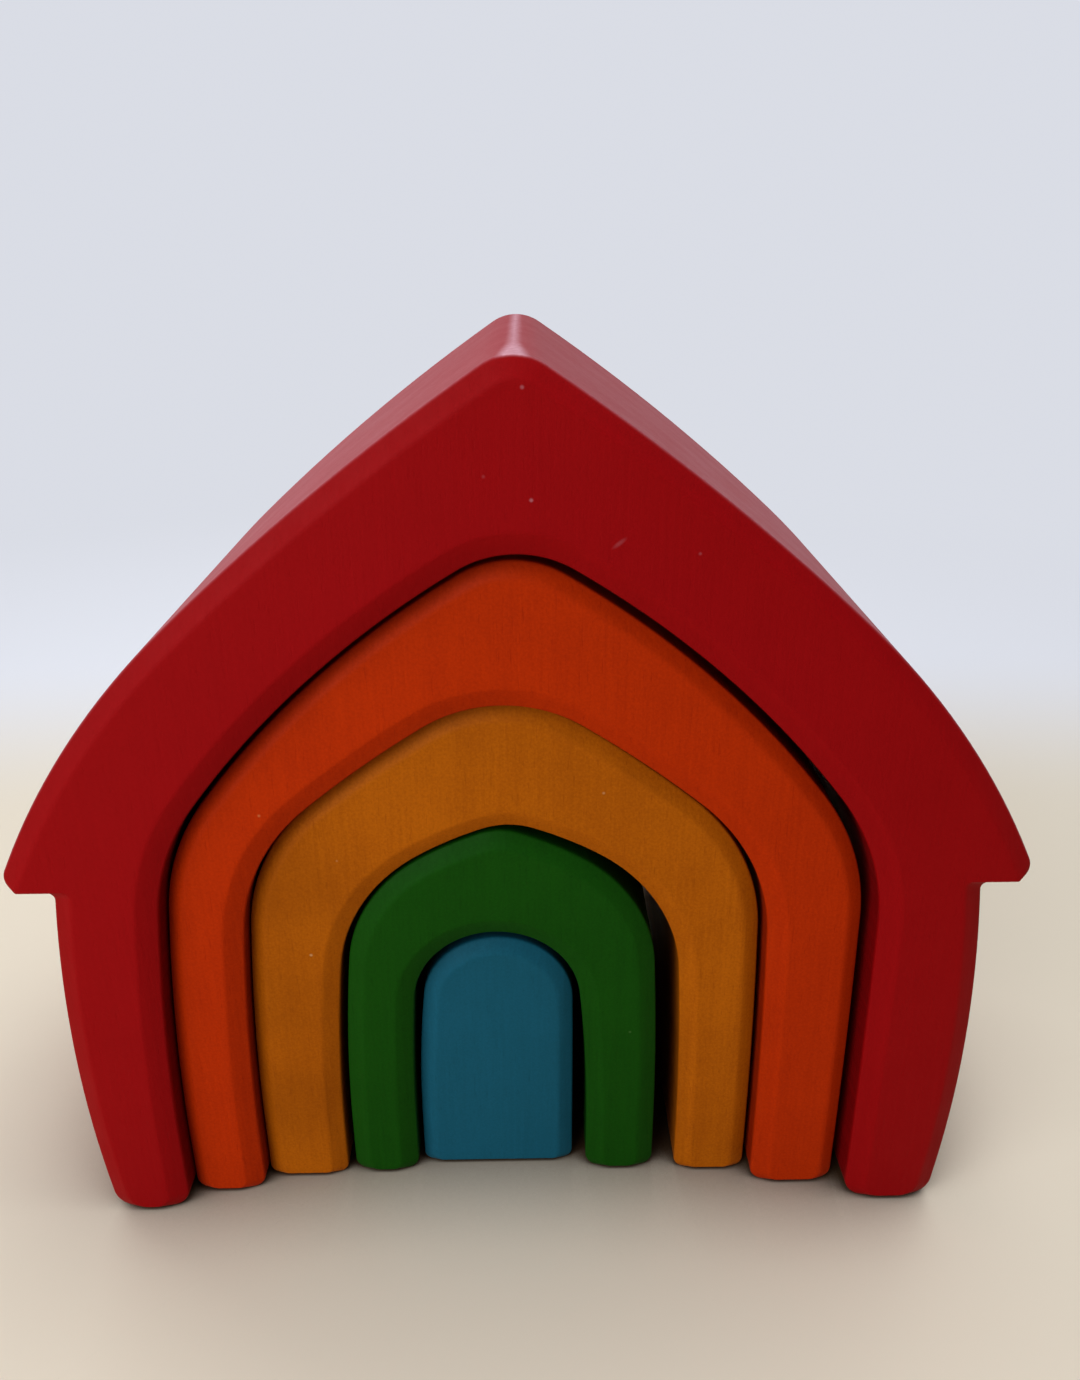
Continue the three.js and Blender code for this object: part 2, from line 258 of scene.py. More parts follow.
def bowed(top, spread):
    """One side of a line: the arcs of its top, of which the last ends upright, and a leg that bows out."""
    drop = top["spring"] - LEG_BELLY
    lean = 2 * math.atan(spread / drop)
    radius, degrees = top["arcs"][-1]
    shoulder = (radius, degrees - math.degrees(lean))
    leg = (radius + drop / math.sin(lean), math.degrees(lean))
    return {"half": top["half"] + spread, "arcs": [*top["arcs"][:-1], shoulder, leg]}


def with_legs(top, left, right):
    """Both sides of a line, from its top and how far each leg spreads."""
    return {LEFT: bowed(top, left), RIGHT: bowed(top, right)}


def round_top(radius, height):
    """Half-round top of a line. Its legs start at the height of its spring."""
    return {"half": radius, "spring": height - radius, "arcs": [(radius, 90)]}


def outside(line, inset, sole, foot_radius):
    """Steps down one side of a block and round its foot, and how far out the sole begins."""
    foot = corner(foot_radius, inset)
    arcs = [bend(radius, degrees, -inset) for radius, degrees in line["arcs"]]
    return [*arcs, LEG_BELLY - sole - foot[0], foot], line["half"] - inset - foot[0]


def both_sides(half):
    """Whole saw line from a function that gives the steps of its right or left half."""
    return [*half(RIGHT), *reversed(half(LEFT))]


DOOR = with_legs(round_top(radius=13.5 * MM, height=51.7 * MM), left=1.5 * MM, right=0.1 * MM)
door_halves = [round(DOOR[side]["half"] / MM, 1) for side in (LEFT, RIGHT)]
print("door's legs stand", door_halves, "mm from its middle")

# %% [markdown]
# ## The door block
# The smallest block is a plain upright with a half-round top. Its left side bows out and its right side is
# nearly straight, so it leans a little, as if it was sawn by eye.

# %% Blue door
DOOR_FOOT = 1.8 * MM
DOOR_BEVEL = 2.7 * MM


def door_line(inset, _, sole):
    """The door has no opening, so it leaves out that inset."""
    def half(side):
        down, sole_start = outside(DOOR[side], inset, sole, DOOR_FOOT)
        return [*down, sole_start]

    return both_sides(half)


door = sawn_block("door_block", "blue_door", DOOR_BEVEL, DOOR_BEVEL, door_line)

# %% [markdown]
# ## The arches
# Each arch has a pointed outside: a tight crest, two long flanks, and shoulders that run into the legs. The
# three arcs touch, so the angle where flank and shoulder meet follows from the width. The opening of the
# next arch is the same line, moved outwards by the play at its sides, lifted to the play over its crest,
# and a little off the middle.

# %% Half an opening, and a whole arch
def gable(half, height, crest, crest_degrees, flank, shoulder):
    """Top of a pointed line, from half its width, its height and its arcs."""
    tilt = math.radians(crest_degrees)
    reach = half - shoulder + (flank - crest) * math.sin(tilt)
    meeting = math.asin(reach / (flank - shoulder))
    spring = height - crest
    spring += (crest - flank) * math.cos(tilt) + (flank - shoulder) * math.cos(meeting)
    arcs = [
        (crest, crest_degrees),
        (flank, math.degrees(meeting) - crest_degrees),
        (shoulder, 90 - math.degrees(meeting)),
    ]
    return {"half": half, "spring": spring, "arcs": arcs}


def inside(line, side_play, top_play, inset, sole, foot_radius):
    """Steps round the foot and up one side of an opening, and how far out the sole ends."""
    foot = corner(foot_radius, inset)
    arcs = [bend(-radius, degrees, -side_play - inset) for radius, degrees in reversed(line["arcs"])]
    upright = LEG_BELLY + top_play - side_play - sole - foot[0]
    return [foot, upright, *arcs], line["half"] + side_play + inset + foot[0]


def arch_line(line, foot_radius, opening, side_play=0, top_play=0, shift=0):
    """Saw line of an arch, as a function of its insets."""
    def saw_line(outer, inner, sole):
        def half(side):
            down, sole_start = outside(line[side], outer, sole, foot_radius)
            up, sole_end = inside(opening[side], side_play, top_play, inner, sole, foot_radius)
            return [*down, sole_start - sole_end - side * shift, *up]

        return both_sides(half)

    return saw_line


GREEN_TOP = gable(
    half=27 * MM, height=74.6 * MM,
    crest=10 * MM, crest_degrees=18.9, flank=56 * MM, shoulder=27 * MM,
)
YELLOW_TOP = gable(
    half=43.8 * MM, height=98 * MM,
    crest=22.8 * MM, crest_degrees=32.4, flank=181 * MM, shoulder=34.2 * MM,
)
ORANGE_TOP = gable(
    half=58.2 * MM, height=122.3 * MM,
    crest=15.4 * MM, crest_degrees=31.1, flank=152 * MM, shoulder=39.6 * MM,
)
for top in (GREEN_TOP, YELLOW_TOP, ORANGE_TOP):
    print("legs start", round(top["spring"] / MM, 1), "mm above the floor")

# %% [markdown]
# ## The green arch
# The green arch is the only one with a round opening, for the door. That opening's legs bow out more on the
# right than the door does, so the gap beside the door widens towards the floor.

# %% Green arch
GREEN = with_legs(GREEN_TOP, left=1.9 * MM, right=1 * MM)
GREEN_OPENING = with_legs(round_top(radius=14.8 * MM, height=54.3 * MM), left=1 * MM, right=1.4 * MM)
GREEN_FOOT = 2.5 * MM
GREEN_SHIFT = -1 * MM
GREEN_BEVELS = (3 * MM, 3.2 * MM)  # round the outside and round the opening

green_line = arch_line(GREEN, GREEN_FOOT, GREEN_OPENING, shift=GREEN_SHIFT)
green = sawn_block("green_block", "green_arch", *GREEN_BEVELS, green_line)

# %% [markdown]
# ## The yellow and orange arches
# These two differ only in their sizes, so one function draws both. The orange one is heavier, and the bevel
# round its opening is clearly wider than the one round its outside.

# %% Yellow and orange arches
YELLOW = with_legs(YELLOW_TOP, left=2.1 * MM, right=0.9 * MM)
YELLOW_FOOT = 1.8 * MM
YELLOW_SHIFT = 0.7 * MM
YELLOW_BEVELS = (2.7 * MM, 2.9 * MM)
GREEN_PLAYS = (2.8 * MM, 1.4 * MM)  # at each side and over the crest

yellow_line = arch_line(YELLOW, YELLOW_FOOT, GREEN, *GREEN_PLAYS, YELLOW_SHIFT)
yellow = sawn_block("yellow_block", "yellow_arch", *YELLOW_BEVELS, yellow_line)

ORANGE = with_legs(ORANGE_TOP, left=2.8 * MM, right=0.6 * MM)
ORANGE_FOOT = 2.4 * MM
ORANGE_SHIFT = -1.7 * MM
ORANGE_BEVELS = (2.5 * MM, 3.2 * MM)
YELLOW_PLAYS = (0.6 * MM, 1 * MM)

orange_line = arch_line(ORANGE, ORANGE_FOOT, YELLOW, *YELLOW_PLAYS, ORANGE_SHIFT)
orange = sawn_block("orange_block", "orange_arch", *ORANGE_BEVELS, orange_line)

# %% [markdown]
# ## The red house
# The house has a rounded ridge, a roof that gets steeper towards the eaves, and walls that bow outwards.
# The roof could be a Bezier curve, but two arcs that touch give the same swell and stay parallel under the
# bevel. Their radii follow from where the ridge ends and where the eave begins. Under the eave, a small
# hollow corner runs into the wall.

# %% The house's roof
HOUSE_HALF = 77.4 * MM  # at the belly of the walls
HOUSE_HEIGHT = 151.5 * MM
RIDGE_ROUND = 8 * MM
RIDGE_PITCH, ROOF_PITCH, EAVE_PITCH = 33.5, 42.5, 63  # degrees, the middle one where the arcs meet
EAVE_STRAIGHT = 1.5 * MM
EAVE_REACH = 82.5 * MM  # eave's tip from the middle
EAVE_HEIGHT = 68.6 * MM
EAVE_ROUND = 3 * MM


def sine(degrees):
    return math.sin(math.radians(degrees))


def cosine(degrees):
    return math.cos(math.radians(degrees))


eave_start = (
    EAVE_REACH - EAVE_ROUND * (1 - sine(EAVE_PITCH)) - EAVE_STRAIGHT * cosine(EAVE_PITCH),
    EAVE_HEIGHT + EAVE_ROUND * (1 + cosine(EAVE_PITCH)) + EAVE_STRAIGHT * sine(EAVE_PITCH),
)


def roof_radii():
    """Radii of the two arcs between ridge and eave, from the way across and the way down."""
    across = eave_start[0] - RIDGE_ROUND * sine(RIDGE_PITCH)
    down = HOUSE_HEIGHT - RIDGE_ROUND * (1 - cosine(RIDGE_PITCH)) - eave_start[1]
    upper = (sine(ROOF_PITCH) - sine(RIDGE_PITCH), cosine(RIDGE_PITCH) - cosine(ROOF_PITCH))
    lower = (sine(EAVE_PITCH) - sine(ROOF_PITCH), cosine(ROOF_PITCH) - cosine(EAVE_PITCH))
    scale = upper[0] * lower[1] - lower[0] * upper[1]
    return (
        (across * lower[1] - lower[0] * down) / scale,
        (upper[0] * down - across * upper[1]) / scale,
    )


UPPER_ROOF, LOWER_ROOF = roof_radii()
print("roof arcs in mm:", round(UPPER_ROOF / MM), round(LOWER_ROOF / MM))

# %% [markdown]
# ## Eaves and walls
# The wall is one arc with its belly about halfway up to the eave, so the hollow under the eave and the
# foot's corner must touch a circle. Where each touches follows from the distance between the two centres.

# %% Red house
HOUSE_BEVELS = (3 * MM, 3.4 * MM)
HOUSE_FOOT = 4 * MM
HOUSE_INNER_FOOT = 3.4 * MM
ORANGE_PLAYS = (1 * MM, 1.9 * MM)
WALL_BOW = 260 * MM
WALL_DEGREES = 14  # the wall's share of that circle, about
BELLY_HEIGHT = 33 * MM
EAVE_HOLLOW = 1.2 * MM


def beside_wall(distance, height):
    """How far out a circle that touches the bowed wall has its centre, and the heading where they touch."""
    rise = height - BELLY_HEIGHT
    across = HOUSE_HALF - WALL_BOW + math.sqrt(distance ** 2 - rise ** 2)
    return across, math.degrees(math.acos(rise / distance))


def house_line(outer, inner, sole):
    """Saw line of the house. Its roof and walls are alike on both sides, and its opening isn't."""
    bow = WALL_BOW - outer
    tip = max(EAVE_ROUND - outer, LEAST_ROUND)
    underside = EAVE_HEIGHT + sole
    roof_end = eave_start[1] - outer * cosine(EAVE_PITCH)
    run = (roof_end - tip * (1 + cosine(EAVE_PITCH)) - underside) / sine(EAVE_PITCH)
    tip_end = eave_start[0] - (outer + tip) * sine(EAVE_PITCH) + run * cosine(EAVE_PITCH)
    hollow_at, wall_top = beside_wall(bow + EAVE_HOLLOW, underside - EAVE_HOLLOW)
    foot = max(HOUSE_FOOT - CORNER_SHRINK * outer, LEAST_ROUND)
    foot_at, wall_foot = beside_wall(bow - foot, sole + foot)
    down = [
        bend(RIDGE_ROUND, RIDGE_PITCH, -outer),
        bend(UPPER_ROOF, ROOF_PITCH - RIDGE_PITCH, -outer),
        bend(LOWER_ROOF, EAVE_PITCH - ROOF_PITCH, -outer),
        run,
        (tip, 180 - EAVE_PITCH, facets(EAVE_ROUND, 180 - EAVE_PITCH)),
        tip_end - hollow_at,
        (-EAVE_HOLLOW, 180 - wall_top, facets(EAVE_HOLLOW, 90)),
        (bow, wall_foot - wall_top, facets(WALL_BOW, WALL_DEGREES)),
        (foot, 180 - wall_foot, facets(HOUSE_FOOT, 90)),
    ]

    def half(side):
        up, sole_end = inside(ORANGE[side], *ORANGE_PLAYS, inner, sole, HOUSE_INNER_FOOT)
        return [*down, foot_at - sole_end, *up]

    return both_sides(half)


house = sawn_block("house_block", "red_house", *HOUSE_BEVELS, house_line)

# %% [markdown]
# ## Writing materials as sums
# A wood finish is many small effects added up: fibres, clouds, worn edges. Node by node that is long to
# write, so a small class lets Python's own signs add the Math nodes, and one method makes any other node.

# %% Readings and finishes
class Reading:
    """What a node's socket gives. Sums with it add Math nodes."""

    def __init__(self, finish, socket):
        self.finish = finish
        self.socket = socket

    def _sum(self, operation, first, second):
        return self.finish.node("ShaderNodeMath", {"operation": operation}, {0: first, 1: second})

    def __add__(self, other):
        return self._sum("ADD", self, other)

    __radd__ = __add__

    def __mul__(self, other):
        return self._sum("MULTIPLY", self, other)

    __rmul__ = __mul__

    def __sub__(self, other):
        return self._sum("SUBTRACT", self, other)

    def __rsub__(self, other):
        return self._sum("SUBTRACT", other, self)

    def size(self):
        return self._sum("ABSOLUTE", self, 0.0)


class Finish:
    """Nodes of a material or of the world, while they are put together."""

    def __init__(self, owner):
        owner.use_nodes = True
        self.owner = owner
        self.tree = owner.node_tree
        self.tree.nodes.clear()

    def node(self, kind, settings=None, sockets=None, out=0):
        made = self.tree.nodes.new(kind)
        for key, value in (settings or {}).items():
            setattr(made, key, value)
        for key, value in (sockets or {}).items():
            if isinstance(value, Reading):
                self.tree.links.new(value.socket, made.inputs[key])
            else:
                made.inputs[key].default_value = value
        return Reading(self, made.outputs[out]) if made.outputs else None


print("sums ready")

# %% [markdown]
# ## Tools for the wood
# Four small functions are enough: noise about nought, a soft step, a mix of two colours, and a round mask
# for a nick. Screen colours are turned into the linear values that Blender works with.

# %% Parts of the wood finish
NOISE_MIDDLE, NOISE_GAIN = 0.5, 4.0
FIRST_COLOUR, SECOND_COLOUR, MIXED_COLOUR = 6, 7, 2  # a Mix node's sockets for colours
MARK_CORE = 0.2  # share of a mark's radius that has its full strength


def noise(finish, place, scale, detail=2.0, roughness=0.5):
    """Noise about nought, most of it between -1 and 1."""
    fog = finish.node(
        "ShaderNodeTexNoise", {"noise_dimensions": "3D"},
        {"Vector": place, "Scale": scale, "Detail": detail, "Roughness": roughness},
    )
    return (fog - NOISE_MIDDLE) * NOISE_GAIN


def ramp(finish, value, low, high, start=0.0, end=1.0):
    """Soft step from start to end as a value goes from low to high."""
    return finish.node(
        "ShaderNodeMapRange", {"interpolation_type": "SMOOTHSTEP"},
        {"Value": value, "From Min": low, "From Max": high, "To Min": start, "To Max": end},
    )


def mix(finish, share, first, second):
    """First colour, with a share of the second."""
    sockets = {0: share, FIRST_COLOUR: first, SECOND_COLOUR: second}
    return finish.node("ShaderNodeMix", {"data_type": "RGBA"}, sockets, out=MIXED_COLOUR)


def colour(red, green, blue):
    """Linear colour from the 0 to 255 values of a screen, by the sRGB curve."""
    def linear(value):
        share = value / 255
        return share / 12.92 if share <= 0.04045 else ((share + 0.055) / 1.055) ** 2.4
    return (linear(red), linear(green), linear(blue), 1.0)


def speck(finish, place, spot, radius, stretch=1.0, degrees=0.0):
    """Soft mask of a mark on the wood, in mm. A stretched one is a scratch that rises by some degrees."""
    near = finish.node("ShaderNodeMapping", {"vector_type": "TEXTURE"}, {
        "Vector": place,
        "Location": [side * MM for side in spot],
        "Rotation": (0, -math.radians(degrees), 0),
        "Scale": (radius * stretch * MM, radius * MM, radius * MM),
    })
    distance = finish.node("ShaderNodeVectorMath", {"operation": "LENGTH"}, {0: near}, out="Value")
    return ramp(finish, distance, MARK_CORE, 1.0, 1.0, 0.0)


print("middle grey on screen is", [round(part, 3) for part in colour(128, 128, 128)])

# %% [markdown]
# ## Grain
# The grain runs up and down. Noise that is stretched along z gives fibres on upright faces and small dots
# on sawn ends, as in solid wood. Coarser strands, open pores and an even mottle go with the fibres. One
# table says how much each of them darkens the stain, and another how far it stands out from the surface.

# %% Grain of the wood
GRAIN_STRETCH = (1, 1, 0.035)
PORE_STRETCH = (1, 1, 0.12)
FIBRE_SCALE, STRAND_SCALE, PORE_SCALE, MOTTLE_SCALE = 1500, 420, 2600, 2400  # the larger, the finer
FIBRE_DETAIL, PORE_DETAIL = 3.0, 1.0
PORE_EDGE = (0.5, 1.1)  # only the peaks of the noise are pores
GRAIN_TONE = {"fibre": 0.1, "strand": 0.05, "pores": 0.22, "mottle": 0.2}
GRAIN_RELIEF = {"fibre": 0.5, "strand": 0.3, "pores": -0.8, "mottle": 0.3}


def stretched(finish, place, scale):
    """The same places, drawn out along the axes with a small scale."""
    return finish.node("ShaderNodeMapping", {}, {"Vector": place, "Scale": scale})


def wood_grain(finish, place):
    """Noise for each part of the grain, by its name."""
    along = stretched(finish, place, GRAIN_STRETCH)
    short = stretched(finish, place, PORE_STRETCH)
    return {
        "fibre": noise(finish, along, FIBRE_SCALE, FIBRE_DETAIL),
        "strand": noise(finish, along, STRAND_SCALE),
        "pores": ramp(finish, noise(finish, short, PORE_SCALE, PORE_DETAIL), *PORE_EDGE),
        "mottle": noise(finish, place, MOTTLE_SCALE),
    }


def blend(parts, weights):
    """Sum of named parts, each times its weight."""
    return sum(weight * parts[name] for name, weight in weights.items())


print("parts of the grain:", list(GRAIN_TONE))

# %% [markdown]
# ## Stained wood
# The blocks are of a pale, even wood under a thin water stain and a little oil, so colour lies in the wood
# and not on it. The stain takes unevenly, in soft clouds. The sawn walls are rougher, with faint marks of
# the blade that run straight through the plank, and painted shade darkens them, for the narrow gaps where
# the blocks shade each other. The bevels get a little painted shade too. Faces, bevels and walls lie at
# different depths behind the plank's faces, which tells them apart.

# %% Tones and depths
CLOUD_SCALE, BLOTCH_SCALE, SCUFF_SCALE, SAW_SCALE = 38, 120, 1400, 650
CLOUD_DETAIL, CLOUD_ROUGHNESS = 3.0, 0.55
SCUFF_RANGE = (-1.2, 1.2)
SAW_STRETCH = (1, 0.03, 1)
MIDDLE_TONE = 0.5  # halfway between the stain and its deeper tone
BLOTCH_TONE = 0.06
# the darkest tone, a share of the deeper one, paints shade and colours the smudges
DARKEST_TONE = 0.2  # brightness of the deepest tone, as a share of the deeper one
# painted shade on bevels and on sawn walls, and how blade marks vary it on the walls
BEVEL_PAINTED_SHADE, WALL_PAINTED_SHADE, SAW_SHARE = 0.06, 0.54, 0.09  # of the deepest tone
FACE_END = (0.15 * MM, 0.8 * MM)  # behind the face: where it goes over into the bevel
BEVEL_END = (1.3 * MM, 2 * MM)
CUT_START = (1.0 * MM, 2.6 * MM)  # from the bevel's outer edge to the sawn wall


def depth_behind_face(block, y):
    """How far a place lies behind the front or the back of its block, whichever is nearer."""
    front = min((block.matrix_world @ Vector(point)).y for point in block.bound_box)
    return PLANK / 2 - (y - (front + PLANK / 2)).size()


print("a sawn wall starts", round(CUT_START[1] / MM, 1), "mm behind the face")

# %% [markdown]
# ## The finish of a block
# The stain's tones are mixed first. The deepest tone comes next: it paints shade on bevels and walls and
# colours the smudges. Then comes the bare wood of worn places and of the roof's painted sheen. The grain's
# relief is only a bump, because it is far too fine to model. Hardly any shine is left on stained wood. Only
# a handled surface has a thin, dull coat.

# %% Stained wood
SAW_RELIEF = 2.0
BUMP_STRENGTH, BUMP_HEIGHT = 0.35, 0.05 * MM
ROUGHNESS, BLOTCH_ROUGHNESS, FIBRE_ROUGHNESS = 0.52, 0.05, 0.04
SHINE = 0.05
POLISH, POLISH_ROUGHNESS = 0.2, 0.42


def stained_wood(name, block, tones, grain=1.0, clouds=0.12, nicks=(), smudges=(), handled=None):
    """Stained wood in three tones: the stain, where it soaked in deeper, and where it is worn off, which
    also paints the roof's sheen. Painted shade darkens bevels and sawn walls.
    """
    stain, deep, bare_and_sheen = tones
    finish = Finish(bpy.data.materials.new(name))
    place = finish.node("ShaderNodeTexCoord", out="Object")
    axes = [finish.node("ShaderNodeSeparateXYZ", {}, {0: place}, out=i) for i in range(3)]
    parts = wood_grain(finish, place)
    cloud = noise(finish, place, CLOUD_SCALE, CLOUD_DETAIL, CLOUD_ROUGHNESS)
    blotch = noise(finish, place, BLOTCH_SCALE)
    tone = MIDDLE_TONE + grain * blend(parts, GRAIN_TONE)
    tone = tone + clouds * cloud + BLOTCH_TONE * blotch
    wood = mix(finish, ramp(finish, tone, 0.0, 1.0), stain, deep)

    depth = depth_behind_face(block, axes[1])
    on_face = ramp(finish, depth, *FACE_END, 1.0, 0.0)
    bevel = (1.0 - on_face) * ramp(finish, depth, *BEVEL_END, 1.0, 0.0)
    cut = ramp(finish, depth, *CUT_START)
    wear_and_sheen, polish = 0.0, 0.0
    if handled:
        short = stretched(finish, place, PORE_STRETCH)
        scuff = ramp(finish, noise(finish, short, SCUFF_SCALE), *SCUFF_RANGE)
        outer, wear_and_sheen = handled(finish, axes, depth, scuff)
        cut, polish = cut * (1.0 - outer), outer * cut

    saw_marks = noise(finish, stretched(finish, place, SAW_STRETCH), SAW_SCALE)
    # painted shade on bevels and on sawn walls, where the blocks shade each other in the gaps
    painted_shade_and_smudges = BEVEL_PAINTED_SHADE * bevel + cut * (WALL_PAINTED_SHADE + SAW_SHARE * saw_marks)
    for strength, *mark in smudges:
        painted_shade_and_smudges = painted_shade_and_smudges + strength * on_face * speck(finish, place, *mark)
    for strength, *mark in nicks:
        wear_and_sheen = wear_and_sheen + strength * speck(finish, place, *mark)
    # the darkest tone: painted shade, and the smudges' colour
    shade_and_smudge_tone = [part * DARKEST_TONE for part in deep[:3]] + [1.0]
    wood = mix(finish, painted_shade_and_smudges, wood, shade_and_smudge_tone)
    # bare wood of worn places and nicks, and the roof's painted sheen
    wood = mix(finish, wear_and_sheen, wood, bare_and_sheen)

    relief = blend(parts, GRAIN_RELIEF) + SAW_RELIEF * cut * saw_marks
    bump = finish.node("ShaderNodeBump", {}, {
        "Strength": BUMP_STRENGTH, "Distance": BUMP_HEIGHT, "Height": relief,
    })
    surface = finish.node("ShaderNodeBsdfPrincipled", {}, {
        "Base Color": wood,
        "Roughness": ROUGHNESS + BLOTCH_ROUGHNESS * blotch + FIBRE_ROUGHNESS * parts["fibre"],
        "Normal": bump,
        "Specular IOR Level": SHINE,
        "Coat Weight": polish * POLISH,
        "Coat Roughness": POLISH_ROUGHNESS,
    })
    finish.node("ShaderNodeOutputMaterial", {}, {"Surface": surface})
    block.data.materials.clear()
    block.data.materials.append(finish.owner)
    print(name, "nodes:", len(finish.tree.nodes))


# %% [markdown]
# ## The handled roof
# Hands rub the roof and the outside of the house, so these are smoother than the sawn walls inside, with a
# dull shine. The roof is paler, partly faded and partly a painted sheen. The ridge has worn to a pale
# stripe that flares towards the front, and the roof's front edge is a little paler too. Two straight lines
# that run between the opening and the outside are enough to tell one from the other.

# %% Outside of the house, its worn places and its painted sheen
INSIDE_REACH, REACH_BLUR = 66 * MM, 2 * MM  # the opening lies within this distance from the middle
INSIDE_SLOPE = 0.85  # and under a line that falls to both sides
INSIDE_TOP, TOP_BLUR = 141 * MM, 3 * MM  # from this height
ROOF_BLUR = 6 * MM  # above the eave
ROOF_SURFACE = (1.1 * MM, 1.5 * MM)  # behind the face: where the roof's surface begins
ROOF_EDGE = (1.5 * MM, 2.6 * MM)  # and where its paler edge ends
STRIPE_FLARE = (1 * MM, 20 * MM)  # behind the face: where the flare begins and ends
STRIPE_HALF = (1.9 * MM, 0.7 * MM)  # half the stripe's width at the front and further back
STRIPE_BLUR = (-1.2 * MM, 0.8 * MM)
RIDGE_BAND = (HOUSE_HEIGHT - 2.2 * MM, HOUSE_HEIGHT - 1.0 * MM)
# the roof paler towards the bare tone: partly fading, partly a painted sheen
ROOF_SHEEN_AND_FADE, SHEEN_FADE_EVEN, SHEEN_FADE_SCUFFED = 0.12, 0.7, 0.6
EDGE_WEAR = 0.12
RIDGE_EVEN, RIDGE_SCUFFED = 0.6, 0.4
HOUSE_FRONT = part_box("red_house")[0].y


def handled_house(finish, axes, depth, scuff):
    """Masks of the house's outside, and of the wear and painted sheen on it."""
    across = axes[0].size()
    beyond = ramp(finish, across, INSIDE_REACH - REACH_BLUR, INSIDE_REACH + REACH_BLUR)
    over = ramp(finish, axes[2] + INSIDE_SLOPE * across, INSIDE_TOP - TOP_BLUR, INSIDE_TOP + TOP_BLUR)
    outer = beyond + over - beyond * over

    roof = over * ramp(finish, axes[2], EAVE_HEIGHT, EAVE_HEIGHT + ROOF_BLUR)
    surface = ramp(finish, depth, *ROOF_SURFACE)
    edge = surface * ramp(finish, depth, *ROOF_EDGE, 1.0, 0.0)
    stripe = ramp(finish, axes[1] - HOUSE_FRONT, *STRIPE_FLARE, *STRIPE_HALF)
    ridge = ramp(finish, across - stripe, *STRIPE_BLUR, 1.0, 0.0)
    ridge = ridge * ramp(finish, axes[2], *RIDGE_BAND)
    # painted sheen and fading on the roof
    fade = ROOF_SHEEN_AND_FADE * roof * surface * (SHEEN_FADE_EVEN + SHEEN_FADE_SCUFFED * scuff)
    stripe_wear = ridge * surface * (RIDGE_EVEN + RIDGE_SCUFFED * scuff)
    return outer, fade + EDGE_WEAR * edge * roof + stripe_wear


print("the opening's mask ends", round(INSIDE_TOP / MM), "mm above the floor")

# %% [markdown]
# ## Five stains
# The stains run through the rainbow from the red house to the blue door. Each has a deeper tone for the
# places where more of it soaked in, and a bare tone, the pale wood under a rest of the stain. A darker
# share of the deeper tone paints shade on bevels and sawn walls, and the red's bare tone also paints a
# sheen on the roof. Small nicks in the faces show that bare tone as dots. Most are on the house, which is
# the block that is bumped most. The left leg of the yellow arch has darker smudges on its face.

# %% Stain the blocks
# the red's bare tone also paints the roof's sheen, and each deeper tone is the base of the painted shade
RED_TONES = colour(156, 9, 15), colour(144, 6, 11), colour(206, 150, 164)  # stain, deeper tone, bare tone
ORANGE_TONES = colour(194, 52, 3), colour(168, 40, 2), colour(226, 160, 100)
YELLOW_TONES = colour(192, 103, 9), colour(160, 80, 5), colour(224, 186, 130)
GREEN_TONES = colour(20, 79, 10), colour(15, 66, 7), colour(100, 140, 80)
BLUE_TONES = colour(25, 95, 120), colour(20, 82, 102), colour(110, 160, 175)
HOUSE_NICKS = [  # strength, place in mm, radius in mm, and the stretch and rise of a scratch
    (0.35, (2.3, -42, 132.3), 0.4),
    (0.25, (1.2, -42, 147.4), 0.4),
    (0.25, (3.1, -41.6, 149.4), 0.3),
    (0.1, (14.6, -42, 126.1), 0.45, 3.5, 38),
    (0.13, (26, -42, 124.5), 0.35),
    (0.08, (-4.2, -42, 135.6), 0.35),
    (0.3, (-55.8, -41.2, 104.6), 0.45),
]
ORANGE_NICKS = [(0.35, (-41.4, -38, 80.9), 0.35)]
YELLOW_NICKS = [
    (0.5, (-36.3, -34.7, 51.4), 0.4),
    (0.35, (13.7, -34.7, 82.5), 0.35),
    (0.2, (-30.4, -34.7, 70.3), 0.3),
]
YELLOW_SMUDGES = [
    (0.16, (-37, -34.7, 64), 16),
    (0.14, (-40, -34.7, 42), 16),
    (0.18, (-41, -34.7, 18), 16),
]
GREEN_NICKS = [(0.3, (19.4, -34.1, 33.2), 0.35)]

stained_wood("red stain", house, RED_TONES, grain=0.8, nicks=HOUSE_NICKS, handled=handled_house)
stained_wood("orange stain", orange, ORANGE_TONES, nicks=ORANGE_NICKS)
stained_wood(
    "yellow stain", yellow, YELLOW_TONES, clouds=0.16, nicks=YELLOW_NICKS, smudges=YELLOW_SMUDGES,
)
stained_wood("green stain", green, GREEN_TONES, nicks=GREEN_NICKS)
stained_wood("blue stain", door, BLUE_TONES)

# %% [markdown]
# ## Joining the blocks to the model
# Each block moves with its own CAD body, and the CAD solid in its place is hidden.

# %% Bodies, nodes and slots
for block, body, node, slot in (
    (house, "house", "red_house", "red_stain"),
    (orange, "orange", "orange_arch", "orange_stain"),
    (yellow, "yellow", "yellow_arch", "yellow_stain"),
    (green, "green", "green_arch", "green_stain"),
    (door, "door", "blue_door", "blue_stain"),
):
    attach(block, body)
    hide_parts(node)
    print(block.name, "rides on", body)

# %% [markdown]
# ## Floor and background
# The toy stands on a plain pale table. Close by, the floor is a warm off-white that takes the toy's shadow,
# and in the narrow gaps between blocks, where little light gets in, an Ambient Occlusion node paints shade
# into its colour. Further back it turns to the cool white of a wall, and far out it fades into the
# background, so there is no horizon. Camera and glossy rays see that background, and other rays get a
# softer light from it.

